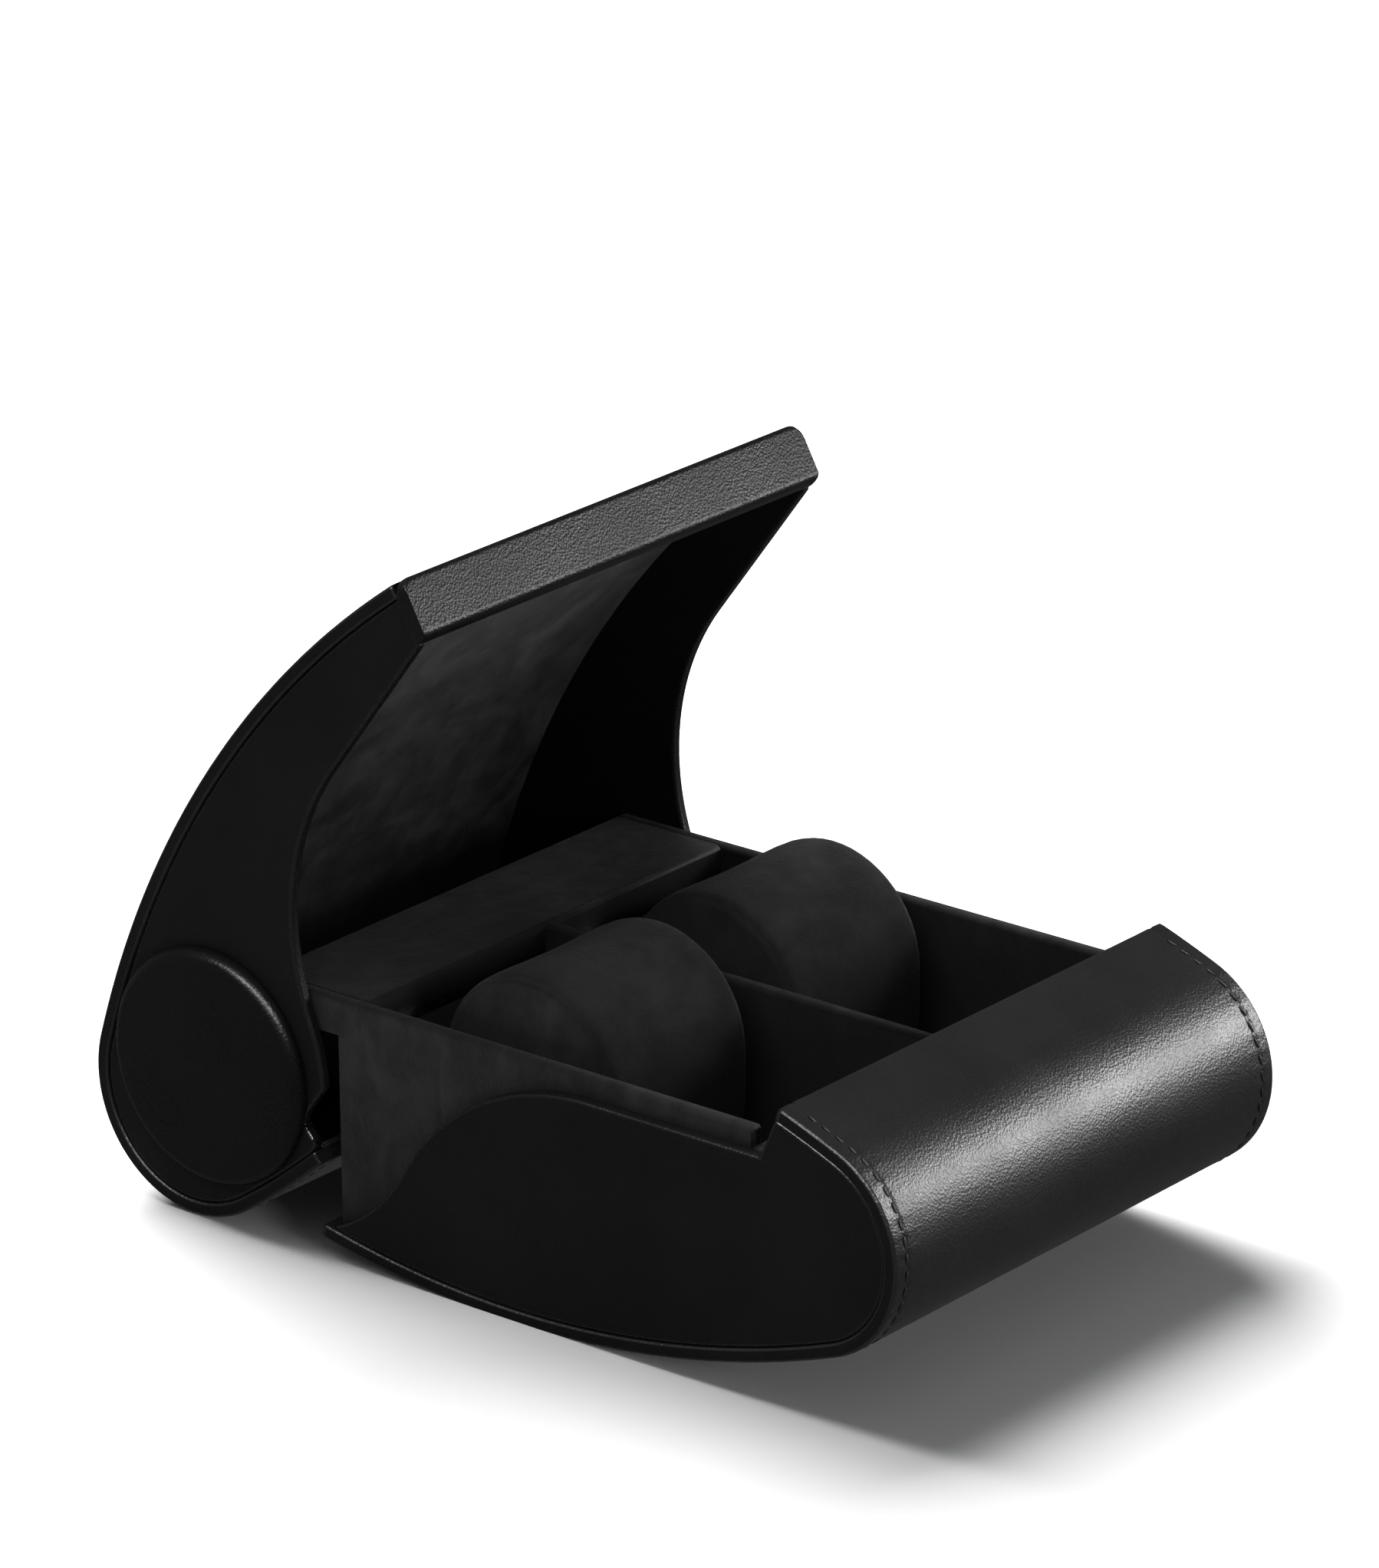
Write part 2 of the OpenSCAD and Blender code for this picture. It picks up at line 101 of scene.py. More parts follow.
class CaseSizes(bpy.types.PropertyGroup):
    """Sizes of the outline, the leather work and the cushions"""

    case_length: length("Case length", "Closed case, nose to rear", 178.6, 160, 215)
    nose_radius: length("Nose radius", "Radius of the rounded nose", 21.9, 20, 24)
    rear_radius: length("Rear radius", "Radius of the rounded rear", 24.4, 22, 26)
    crown_height: length("Crown height", "Crown above the two centres", 35.7, 32, 46)
    belly_depth: length("Belly depth", "Belly below the two centres", 34.8, 32, 40)
    shell_thickness: length("Shell thickness", "Leather-covered shells", 2.8, 2, 4)
    hinge_rise: length("Hinge rise", "Axis above the belly's inner face", 2.0, 1.5, 3)
    round_behind: length("Round behind axis", "Rear centre behind the axis", 1.5, 0, 3)
    lip_round: length("Lip round", "Rounding of the shells' side edges", 0.8, 0.3, 1.3)
    stitch_inset: length("Stitch inset", "Seam's distance from the edge", 3.6, 2, 6)
    stitch_pitch: length("Stitch pitch", "Distance between stitches", 3.3, 2, 5)
    stitch_long: length("Stitch length", "Visible length of a stitch", 2.3, 1, 4)
    stitch_wide: length("Stitch width", "Width of a stitch", 0.5, 0.2, 1)
    pucker: length("Pucker", "Depth of the puckers along the seam", 0.12, 0, 0.3)
    corner_round: length("Corner round", "Rounding of the cheek's corner", 3.0, 1, 4)
    panel_round: length("Panel round", "Rounding of cheeks and panels", 0.7, 0.3, 1)
    rim_round: length("Rim round", "Rounding of the tray's rims", 1.1, 0.3, 1.4)
    strip_round: length("Strip round", "Rounding of the front strip's edges", 1.2, 0.3, 1.3)
    strip_crown: length("Strip crown", "Rise of the front strip's middle", 0.42, 0, 0.45)
    strip_corner: length("Strip corner", "Rounding of the strip's upper corners", 2.6, 1, 4)
    pad_round: length("Pad round", "Rounding of the padded discs", 2.4, 1, 3.2)
    pad_crown: length("Pad crown", "Rise of the disc's face", 0.35, 0, 1)


class CaseColours(bpy.types.PropertyGroup):
    """Colours of the finishes"""

    leather: colour("Leather", "Shells", (0.0085, 0.0085, 0.0090))
    panel: colour("Panel leather", "Cheeks, panels, discs and strips", (0.0060, 0.0060, 0.0062))
    suede: colour("Suede", "Tray and cushions", (0.0098, 0.0098, 0.0101))
    lining: colour("Lining suede", "Inside of the lid", (0.0225, 0.0227, 0.0235))
    thread: colour("Thread", "Seam thread", (0.012, 0.012, 0.013))
    foam: colour("Foam", "Cushion cores", (0.25, 0.24, 0.22))
    wood: colour("Wood", "Former and battens", (0.32, 0.21, 0.12))
    steel: colour("Steel", "Hinge pieces", (0.45, 0.46, 0.48))
    nickel: colour("Nickel", "Magnets", (0.66, 0.65, 0.62))
    nylon: colour("Nylon", "Washers", (0.75, 0.73, 0.68))
    floor: colour("Floor", "Surface under the case", (0.86, 0.86, 0.86))


# ---- shader maths and finishes ----


class Value:
    """A node's output; arithmetic on it adds Math nodes"""

    def __init__(self, finish, socket):
        self.finish = finish
        self.socket = socket

    def __add__(self, other):
        return self.finish.math("ADD", self, other)

    __radd__ = __add__

    def __sub__(self, other):
        return self.finish.math("SUBTRACT", self, other)

    def __rsub__(self, other):
        return self.finish.math("SUBTRACT", other, self)

    def __mul__(self, other):
        return self.finish.math("MULTIPLY", self, other)

    __rmul__ = __mul__


class Finish:
    """A procedural material on one Principled shader"""

    def __init__(self, name, **fixed):
        self.material = bpy.data.materials.new(name)
        self.material.use_nodes = True
        self.tree = self.material.node_tree
        self.tree.nodes.clear()
        self.shader = self.tree.nodes.new("ShaderNodeBsdfPrincipled")
        surface = self.tree.nodes.new("ShaderNodeOutputMaterial").inputs["Surface"]
        self.tree.links.new(self.shader.outputs[0], surface)
        for socket, value in fixed.items():
            self.shader.inputs[socket.replace("_", " ")].default_value = value

    def node(self, kind, settings=None, inputs=None, output=0):
        new = self.tree.nodes.new(kind)
        for name, value in (settings or {}).items():
            if name == "stops":
                self.set_stops(new.color_ramp, value)
            else:
                setattr(new, name, value)
        for name, value in (inputs or {}).items():
            if isinstance(value, Value):
                self.tree.links.new(value.socket, new.inputs[name])
            else:
                new.inputs[name].default_value = value
        return Value(self, new.outputs[output])

    @staticmethod
    def set_stops(ramp, stops):
        while len(ramp.elements) < len(stops):
            ramp.elements.new(1.0)
        for element, (place, shade) in zip(ramp.elements, stops):
            element.position = place
            element.color = (*shade, 1.0)

    def math(self, operation, *values):
        return self.node(
            "ShaderNodeMath", {"operation": operation}, dict(enumerate(values))
        )

    def place(self, stretch=(1, 1, 1)):
        """Object coordinates, stretched along each axis"""
        spot = self.node("ShaderNodeTexCoord", output="Object")
        return self.node("ShaderNodeMapping", {}, {"Vector": spot, "Scale": stretch})

    def noise(self, spot, scale, detail=2.0, distortion=0.0):
        return self.node(
            "ShaderNodeTexNoise",
            {},
            {
                "Vector": spot,
                "Scale": scale,
                "Detail": detail,
                "Distortion": distortion,
            },
        )

    def cells(self, spot, scale):
        return self.node("ShaderNodeTexVoronoi", {}, {"Vector": spot, "Scale": scale})

    def tint(self, factor, shades):
        """Colour that runs over the shades as factor goes from 0 to 1"""
        last = len(shades) - 1
        stops = [(i / last, shade) for i, shade in enumerate(shades)]
        return self.node("ShaderNodeValToRGB", {"stops": stops}, {0: factor})

    def spread(self, value, low, high, out_low, out_high):
        return self.node(
            "ShaderNodeMapRange",
            {},
            {
                "Value": value,
                "From Min": low,
                "From Max": high,
                "To Min": out_low,
                "To Max": out_high,
            },
        )

    def bump(self, height, depth):
        return self.node(
            "ShaderNodeBump",
            {},
            {"Height": height, "Distance": depth, "Strength": 1.0},
        )

    def wire(self, **links):
        for socket, value in links.items():
            self.tree.links.new(
                value.socket, self.shader.inputs[socket.replace("_", " ")]
            )
        return self.material


def darker(shade, factor):
    """The shade times the factor, which may also lighten it"""
    return tuple(min(1.0, c * factor) for c in shade)


def leather(name, shade, rough, gloss, grain):
    """Fine-grained black leather; rough is the middle of its roughness"""
    f = Finish(name, Specular_IOR_Level=gloss, IOR=1.5)
    spot = f.place()
    drift = f.noise(spot, 45.0, 3.0)
    pores = f.cells(spot, 1900.0)
    grit = f.noise(spot, 2600.0, 2.0)
    crease = f.noise(spot, 420.0, 4.0, 0.6)
    height = pores * 0.55 + grit * 0.45 + crease * 0.07
    mix = drift * 0.6 + grit * 0.4
    return f.wire(
        Base_Color=f.tint(mix, [darker(shade, 0.7), darker(shade, 1.35)]),
        Roughness=f.spread(drift + grit * 0.5, 0.5, 1.0, rough - 0.05, rough + 0.06),
        Normal=f.bump(height, grain),
    )


def suede(name, shade, blotch=0.5):
    """Short-napped suede: blotches where the nap is brushed, and fine fibres"""
    f = Finish(
        name,
        Specular_IOR_Level=0.12,
        Sheen_Weight=0.28,
        Sheen_Roughness=0.45,
        Sheen_Tint=(0.45, 0.45, 0.47, 1.0),
    )
    spot = f.place()
    brushed = f.noise(f.place((1.0, 1.6, 0.8)), 55.0, 5.0, 1.2)
    patches = f.noise(spot, 210.0, 4.0, 0.5)
    fibres = f.noise(spot, 2400.0, 3.0)
    nap = brushed * 0.6 + patches * 0.25 + fibres * 0.15
    low, high = darker(shade, 1 - blotch), darker(shade, 1 + blotch * 1.3)
    return f.wire(
        Base_Color=f.tint(f.spread(nap, 0.38, 0.62, 0.0, 1.0), [low, shade, high]),
        Roughness=f.spread(fibres, 0.3, 0.7, 0.86, 1.0),
        Normal=f.bump(fibres * 0.7 + patches * 0.6, 0.00022),
    )


def metal(name, shade, rough, brush=(1, 1, 1)):
    f = Finish(name, Specular_IOR_Level=0.5)
    f.shader.inputs["Metallic"].default_value = 1.0
    lines = f.noise(f.place(brush), 900.0, 3.0)
    return f.wire(
        Base_Color=f.tint(lines, [darker(shade, 0.8), darker(shade, 1.15)]),
        Roughness=f.spread(lines, 0.3, 0.7, rough - 0.06, rough + 0.08),
        Normal=f.bump(lines, 0.00003),
    )


def wood(name, shade):
    f = Finish(name, Specular_IOR_Level=0.3)
    grain = f.noise(f.place((0.12, 1.0, 1.0)), 260.0, 5.0, 1.5)
    return f.wire(
        Base_Color=f.tint(grain, [darker(shade, 0.55), shade, darker(shade, 1.3)]),
        Roughness=f.spread(grain, 0.3, 0.7, 0.6, 0.8),
        Normal=f.bump(grain, 0.0001),
    )


def nylon(name, shade):
    f = Finish(name, Specular_IOR_Level=0.4)
    cloud = f.noise(f.place(), 500.0, 2.0)
    return f.wire(
        Base_Color=f.tint(cloud, [darker(shade, 0.92), shade]),
        Roughness=f.spread(cloud, 0.3, 0.7, 0.4, 0.5),
        Normal=f.bump(cloud, 0.00002),
    )


def thread(name, shade):
    f = Finish(name, Specular_IOR_Level=0.5)
    twist = f.noise(f.place((1.0, 2.0, 2.0)), 2600.0, 2.0)
    return f.wire(
        Base_Color=f.tint(twist, [darker(shade, 0.6), darker(shade, 1.6)]),
        Roughness=f.spread(twist, 0.3, 0.7, 0.35, 0.5),
        Normal=f.bump(twist, 0.00008),
    )


def pale_floor(name, shade):
    f = Finish(name, Specular_IOR_Level=0.0)
    cloud = f.noise(f.place(), 3.0, 2.0)
    return f.wire(
        Base_Color=f.tint(cloud, [darker(shade, 0.99), shade]),
        Roughness=f.spread(cloud, 0.0, 1.0, 0.9, 1.0),
    )


FINISHES = {}


def finish(key):
    """The material of that name, made once"""
    if key not in FINISHES:
        c = bpy.context.scene.watch_case_colours
        makers = {
            "shell_leather": lambda n: leather(n, c.leather, 0.39, 0.50, 0.00010),
            "trim_leather": lambda n: leather(n, c.panel, 0.38, 0.20, 0.00010),
            "panel_leather": lambda n: leather(n, c.panel, 0.52, 0.12, 0.00005),
            "pad_leather": lambda n: leather(n, darker(c.panel, 0.7), 0.30, 0.24, 0.00006),
            "edge_leather": lambda n: leather(n, c.panel, 0.50, 0.12, 0.00004),
            "piping_leather": lambda n: leather(n, c.panel, 0.26, 0.60, 0.00004),
            "tray_suede": lambda n: suede(n, c.suede, 0.6),
            "lining_suede": lambda n: suede(n, c.lining, 0.75),
            # painted light: the ledge is the tray's suede drawn 1.7 times lighter
            "ledge_suede": lambda n: suede(n, darker(c.suede, 1.7), 0.6),
            # painted light: the cushions are the tray's suede drawn 1.35 times lighter
            "cushion_suede": lambda n: suede(n, darker(c.suede, 1.35), 0.55),
            "cushion_foam": lambda n: suede(n, c.foam, 0.1),
            "seam_thread": lambda n: thread(n, c.thread),
            "former_wood": lambda n: wood(n, c.wood),
            "hinge_steel": lambda n: metal(n, c.steel, 0.32, (0.2, 1, 1)),
            "magnet_nickel": lambda n: metal(n, c.nickel, 0.18),
            "washer_nylon": lambda n: nylon(n, c.nylon),
            "pale_floor": lambda n: pale_floor(n, c.floor),
        }
        FINISHES[key] = makers[key](key)
    return FINISHES[key]


# ---- making and placing pieces ----

UNDER_LIP = 0.6  # share of a lip's rounding that its under side has
END_GAP = 0.1 * MM  # a shell's leather stops this far short of its board
SHELL_STEP = 0.8 * MM
SHELL_END_ROUND = 0.8 * MM
SEAM_GROOVE = 0.22 * MM
SEAM_END = 2.5 * MM  # the seam stops this far from a shell's ends
PUCKER_REACH = 2.4 * MM
STITCH_SINK = 0.12 * MM
STITCH_RISE = 0.26 * MM
STITCH_LEAN = math.radians(7)
STITCH_FOOT = 0.5 * MM  # lowest height of a stitch, above the flat foot


def add_piece(name, bm, body, slot, replaces=(), looks=(), weighted=True):
    """Turns the bmesh into a smooth-shaded piece that rides on a body; looks are the finishes
    of its faces where they aren't simply the slot's"""
    bmesh.ops.recalc_face_normals(bm, faces=bm.faces)
    for face in bm.faces:
        face.smooth = True
    mesh = bpy.data.meshes.new(name)
    bm.to_mesh(mesh)
    bm.free()
    piece = bpy.data.objects.new(name, mesh)
    bpy.context.scene.collection.objects.link(piece)
    for look in looks or (slot,):
        mesh.materials.append(finish(look))
    if weighted:
        normals = piece.modifiers.new("Face weighted normals", "WEIGHTED_NORMAL")
        normals.weight = 80
    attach(piece, body)
    if replaces:
        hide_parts(*replaces)
    return piece


def size():
    return bpy.context.scene.watch_case_sizes


class Outline:
    """The pebble outline of the closed case: four touching arcs about the hinge axis"""

    def __init__(self, s):
        span = s.case_length - s.rear_radius - s.nose_radius
        mean = (s.rear_radius + s.nose_radius) / 2

        def radius(rise):
            return (rise**2 + span**2 / 4 - mean**2) / (2 * (rise - mean))

        def ahead(r):
            a, b = r - s.rear_radius, r - s.nose_radius
            return (a * a - b * b + span * span) / (2 * span)

        def off(r):
            return math.sqrt((r - s.rear_radius) ** 2 - ahead(r) ** 2)

        crown, belly = radius(s.crown_height), radius(s.belly_depth)
        axis_r = belly - s.shell_thickness - s.hinge_rise
        drop = math.sqrt(axis_r**2 - (s.round_behind - ahead(belly)) ** 2) - off(belly)
        rear = Vector((s.round_behind, drop))
        nose = Vector((s.round_behind - span, drop))
        top = Vector((s.round_behind - ahead(crown), drop - off(crown)))
        low = Vector((s.round_behind - ahead(belly), drop + off(belly)))

        def heading(start, end):
            return math.atan2(end.y - start.y, end.x - start.x)

        rear_low, rear_top = heading(low, rear), heading(top, rear)
        nose_top, nose_low = heading(top, nose), heading(low, nose) + 2 * math.pi
        self.arcs = [
            (rear, s.rear_radius, rear_low, rear_top),
            (top, crown, rear_top, nose_top),
            (nose, s.nose_radius, nose_top, nose_low),
            (low, belly, nose_low, rear_low + 2 * math.pi),
        ]
        self.length = sum(r * (b - a) for _, r, a, b in self.arcs)

    def at(self, distance):
        """Point and outward direction at a distance along the outline"""
        left = distance % self.length
        for centre, r, a, b in self.arcs:
            if left <= r * (b - a) or centre is self.arcs[-1][0]:
                turn = a + left / r
                out = Vector((0, math.cos(turn), math.sin(turn)))
                return Vector((0, centre.x, centre.y)) + out * r, out
            left -= r * (b - a)

    def reach(self, node, place, near=0.12 * MM, step=0.25 * MM, foot=45 * MM):
        """First and last distance along the outline that lie on a node's surface. The foot is
        cut flat, so only a stretch off the surface longer than foot ends the board"""
        bm = bmesh.new()
        bm.from_mesh(NODES[node].data)
        tree = BVHTree.FromBMesh(bm)
        bm.free()
        best, run = (0, 0), None
        for i in range(int(2 * self.length / step)):
            point = place @ self.at(i * step)[0]
            if tree.find_nearest(point, near)[0] is None:
                continue
            run = (run[0], i) if run and (i - run[1]) * step < foot else (i, i)
            best = max(best, run, key=lambda ends: ends[1] - ends[0])
        return best[0] * step, best[1] * step

    def station(self, distance, depth=0.0, shrink=(1, 1, 1)):
        """Frame at that distance: x across the case, y along the outline, z outwards"""
        point, out = self.at(distance)
        along = out.cross(Vector((1, 0, 0)))
        turn = Matrix((Vector((1, 0, 0)), along, out)).transposed().to_4x4()
        return Matrix.Translation(point - out * depth) @ turn @ Matrix.Diagonal((*shrink, 1))


def sweep(section, stations):
    """Solid with closed ends: a loop of (x, height) points carried from station to station"""
    return carry([Vector((x, 0, z)) for x, z in section], stations)


def carry(loop, stations):
    """Solid with closed ends: a loop of points carried from station to station"""
    bm = bmesh.new()
    ring = [bm.verts.new(stations[0] @ point) for point in loop]
    edges = [bm.edges.new(pair) for pair in zip(ring, ring[1:] + ring[:1])]
    ends = [edges]
    for before, after in zip(stations, stations[1:]):
        made = bmesh.ops.extrude_edge_only(bm, edges=edges)["geom"]
        ring = [g for g in made if isinstance(g, bmesh.types.BMVert)]
        fresh = set(ring)
        edges = [
            g
            for g in made
            if isinstance(g, bmesh.types.BMEdge) and fresh.issuperset(g.verts)
        ]
        bmesh.ops.transform(bm, matrix=after @ before.inverted(), verts=ring)
    ends.append(edges)
    for edges in ends:
        bmesh.ops.edgeloop_fill(bm, edges=edges)
    return bm


def rounded_ends(first, last, step, round_by, thickness, half):
    """Distances along a swept board and how far its section shrinks towards each end"""
    turns = [math.radians(a) for a in (0, 22.5, 45, 67.5)]
    near = [
        (first + round_by * (1 - math.cos(math.pi / 2 - t)), round_by * (1 - math.sin(t)))
        for t in turns
    ]
    count = max(2, round((last - first - 2 * round_by) / step))
    middle = [
        (first + round_by + (last - first - 2 * round_by) * i / count, 0.0)
        for i in range(count + 1)
    ]
    far = [(last - (d - first), inset) for d, inset in reversed(near)]
    out = []
    for distance, inset in near + middle + far:
        shrink = ((half - inset) / half, 1.0, (thickness - 2 * inset) / thickness)
        out.append((distance, shrink))
    return out


def arc_points(cx, cz, r, start, end, steps):
    """Points of an arc in a section, angles in degrees"""
    turns = [math.radians(start + (end - start) * i / steps) for i in range(steps + 1)]
    return [(cx + r * math.cos(t), cz + r * math.sin(t)) for t in turns]


def shell_section(half, thickness, lip, seam, groove):
    """Loop of (x, z) about the board's middle: rounded lips and two sewn grooves"""
    top = thickness / 2
    under_lip = lip * UNDER_LIP
    right = arc_points(half - lip, top - lip, lip, 0, 90, 5)
    plain = [half * k for k in (0.86, 0.6, 0.3)]
    dip = [(1.1, 0.0), (0.6, 0.25), (0.25, 0.9), (0, 1.0)]
    dip += [(-d, k) for d, k in reversed(dip[:-1])]
    right += [(half - seam + d * MM, top - groove * k) for d, k in dip]
    right += [(x, top) for x in plain]
    lower = arc_points(half - under_lip, top - under_lip, under_lip, 0, 90, 3)
    under = [(x, -z) for x, z in reversed(lower)]
    quarter = [(half * 0.5, -top)] + under + right
    mirrored = [(-x, z) for x, z in reversed(quarter)]
    return quarter + [(0, top)] + mirrored + [(0, -top)]


def shell_board(name, outline, node, place, body):
    """A leather-covered shell with rounded lips and a puckered seam near each side"""
    s = size()
    half = -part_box(node)[0].x
    t = s.shell_thickness
    first, last = outline.reach(node, place)
    section = shell_section(half, t, s.lip_round, s.stitch_inset, SEAM_GROOVE)
    rows = rounded_ends(first + END_GAP, last - END_GAP, SHELL_STEP, SHELL_END_ROUND, t, half)
    stations = [outline.station(d, t / 2, shrink) for d, shrink in rows]
    line = half - s.stitch_inset

    bm = sweep(section, stations)
    bm.verts.ensure_lookup_table()
    count = len(section)
    for i, (station, (travel, _)) in enumerate(zip(stations, rows)):
        local = station.inverted()
        out = station.to_3x3().col[2].normalized()
        wave = math.sin(2 * math.pi * travel / s.stitch_pitch)
        for v in bm.verts[i * count : (i + 1) * count]:
            reach = abs(abs(v.co.x) - line)
            if reach < PUCKER_REACH and (local @ v.co).z > 0:
                fall = 0.5 + 0.5 * math.cos(math.pi * reach / PUCKER_REACH)
                v.co += out * (wave * s.pucker * fall)
    bmesh.ops.transform(bm, matrix=place, verts=bm.verts)
    for v in bm.verts:
        v.co.z = max(v.co.z, 0.0)
    for face in bm.faces:
        face.material_index = int(abs(face.calc_center_median().x) > half - 2 * SAME)
    looks = ("shell_leather", "edge_leather")
    return add_piece(name, bm, body, "shell_leather", (node,), looks)


def stitching(name, outline, node, place, body):
    """The seam's stitches, sunk a little into their groove; none under the flat foot"""
    s = size()
    half = -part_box(node)[0].x
    first, last = outline.reach(node, place)
    bm = bmesh.new()
    count = int((last - first - 2 * SEAM_END) / s.stitch_pitch)
    start = (first + last - (count - 1) * s.stitch_pitch) / 2
    for side in SIDES.values():
        for i in range(count):
            station = outline.station(start + i * s.stitch_pitch, STITCH_SINK)
            if (place @ station).translation.z < STITCH_FOOT:
                continue
            lean = Matrix.Rotation(STITCH_LEAN * side, 4, "Z")
            spot = Matrix.Translation((side * (half - s.stitch_inset), 0, 0))
            scale = Matrix.Diagonal((s.stitch_wide / 2, s.stitch_long / 2, STITCH_RISE, 1))
            lay = Matrix.Rotation(math.pi / 2, 4, "X")
            bmesh.ops.create_uvsphere(
                bm,
                u_segments=8,
                v_segments=6,
                radius=1,
                matrix=place @ station @ spot @ lean @ scale @ lay,
            )
    return add_piece(
        name, bm, body, "shell_leather", looks=("seam_thread",), weighted=False
    )


def end_face(node, x):
    """The flat face that a node has at that x, as a bmesh of its own"""
    bm = bmesh.new()
    bm.from_mesh(NODES[node].data)
    bmesh.ops.remove_doubles(bm, verts=bm.verts, dist=WELD)
    off = [f for f in bm.faces if any(abs(v.co.x - x) > SAME for v in f.verts)]
    bmesh.ops.delete(bm, geom=off, context="FACES")
    bmesh.ops.dissolve_limit(
        bm, angle_limit=FLAT, verts=bm.verts, edges=bm.edges, use_dissolve_boundaries=False
    )
    return bm


def rounded(bm, edges, radius, segments):
    """Rounds the edges and gives the faces of the rounding"""
    made = bmesh.ops.bevel(
        bm,
        geom=edges,
        offset=radius,
        offset_type="OFFSET",
        segments=segments,
        profile=0.5,
        affect="EDGES",
        clamp_overlap=False,
        material=-1,
    )
    return made["faces"]


def prism(
    name,
    node,
    body,
    slot,
    side=1,
    rim=0.0,
    keep=None,
    tidy=0.35 * MM,
    sink=0.0,
    looks=(),
    corner=None,
):
    """A board cut to the outline of a node's end face, with rounded edges where keep says;
    a second look goes on the roundings, and the outline's corners where corner says are
    rounded off"""
    low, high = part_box(node)
    outer, inner = (high.x, low.x) if side > 0 else (low.x, high.x)
    inner += side * sink
    bm = end_face(node, outer)
    if tidy:
        bmesh.ops.remove_doubles(bm, verts=bm.verts, dist=tidy)
    made = bmesh.ops.extrude_face_region(bm, geom=bm.faces[:], use_keep_orig=True)["geom"]
    moved = [g for g in made if isinstance(g, bmesh.types.BMVert)]
    for v in moved:
        v.co.x = inner
    bmesh.ops.recalc_face_normals(bm, faces=bm.faces)
    if corner:
        round_off(bm, corner, size().corner_round)
    if rim:
        sharp = [
            e
            for e in bm.edges
            if len(e.link_faces) == 2
            and e.calc_face_angle(0) > SHARP
            and (keep is None or keep((e.verts[0].co + e.verts[1].co) / 2, e))
        ]
        for face in rounded(bm, sharp, rim, 4):
            face.material_index = len(looks) - 1 if looks else 0
    return add_piece(name, bm, body, slot, (node,), looks)


def round_off(bm, corner, radius):
    """Rounds the edges that run across the board, where corner says"""
    edges = []
    for edge in bm.edges:
        a, b = (v.co for v in edge.verts)
        across = abs(a.y - b.y) + abs(a.z - b.z) < SAME
        if across and edge.calc_face_angle(0) > SHARP and corner((a + b) / 2):
            edges.append(edge)
    rounded(bm, edges, radius, 6)


# ---- operators, one for each piece or group ----


class WATCHCASE_OT_shells(bpy.types.Operator):
    """Leather-covered shells of base and lid, with their seams"""

    bl_idname = "watchcase.shells"
    bl_label = "Shells"

    def execute(self, context):
        outline = Outline(size())
        shell_board("base_shell_leather", outline, "base_shell", IN_BASE, "base")
        shell_board("lid_shell_leather", outline, "lid_shell", IN_LID, "lid")
        stitching("base_seam_stitches", outline, "base_shell", IN_BASE, "base")
        stitching("lid_seam_stitches", outline, "lid_shell", IN_LID, "lid")
        return {"FINISHED"}


CHEEK_SINK = 0.05 * MM  # the cheek's inner face lies this far inside its board


class WATCHCASE_OT_panels(bpy.types.Operator):
    """Leather side panels of the base and cheeks of the lid"""

    bl_idname = "watchcase.panels"
    bl_label = "Panels and cheeks"

    def execute(self, context):
        rim = size().panel_round

        def near_axis(middle):
            across = Vector((0, middle.y - AXIS.y, middle.z - AXIS.z))
            return across.length < size().rear_radius and across.z > 0

        for word, side in SIDES.items():
            for piece, node, body in (
                ("panel_leather_", "base_side_panel_", "base"),
                ("cheek_leather_", "lid_cheek_", "lid"),
            ):
                sink = CHEEK_SINK if body == "lid" else 0.0
                prism(
                    piece + word,
                    node + word,
                    body,
                    "panel_leather",
                    side,
                    rim,
                    sink=sink,
                    looks=("panel_leather", "piping_leather"),
                    corner=near_axis if body == "lid" else None,
                )
        return {"FINISHED"}


def end_outline(node, x):
    """Corners, in turn, of the flat face that a node has at that x"""
    bm = end_face(node, x)
    bm.faces.ensure_lookup_table()
    corners = [Vector((v.co.y, v.co.z)) for v in bm.faces[0].verts]
    bm.free()
    return corners


def padded_outline(corners, radius, crown, steps=5):
    """The same outline with its corners rounded and its longest side raised in the middle"""
    count = len(corners)
    middle = sum(corners, Vector((0, 0))) / count
    sides = [corners[(i + 1) % count] - corners[i] for i in range(count)]
    longest = max(range(count), key=lambda i: sides[i].length)
    points = []
    for i, corner in enumerate(corners):
        before, after = sides[i - 1].normalized(), sides[i].normalized()
        reach = min(radius, sides[i - 1].length * 0.48, sides[i].length * 0.48)
        start, end = corner - before * reach, corner + after * reach
        for k in range(steps + 1):
            t = k / steps
            points.append(start * (1 - t) ** 2 + corner * 2 * t * (1 - t) + end * t * t)
        if i == longest:
            out = Vector((after.y, -after.x))
            out *= 1 if out.dot(corner - middle) > 0 else -1
            flat = sides[i].length - 2 * reach
            for k in range(1, 10):
                t = k / 10
                rise = crown * 4 * t * (1 - t)
                points.append(end + after * flat * t + out * rise)
    return points, corners[longest], sides[longest].normalized(), sides[longest].length


TRIM_ROUND = 0.25 * MM
STRIP_LIP = ((0.0, 1.0), (0.1, 0.55), (0.3, 0.27), (1.0, 0.0))  # reach in, inset


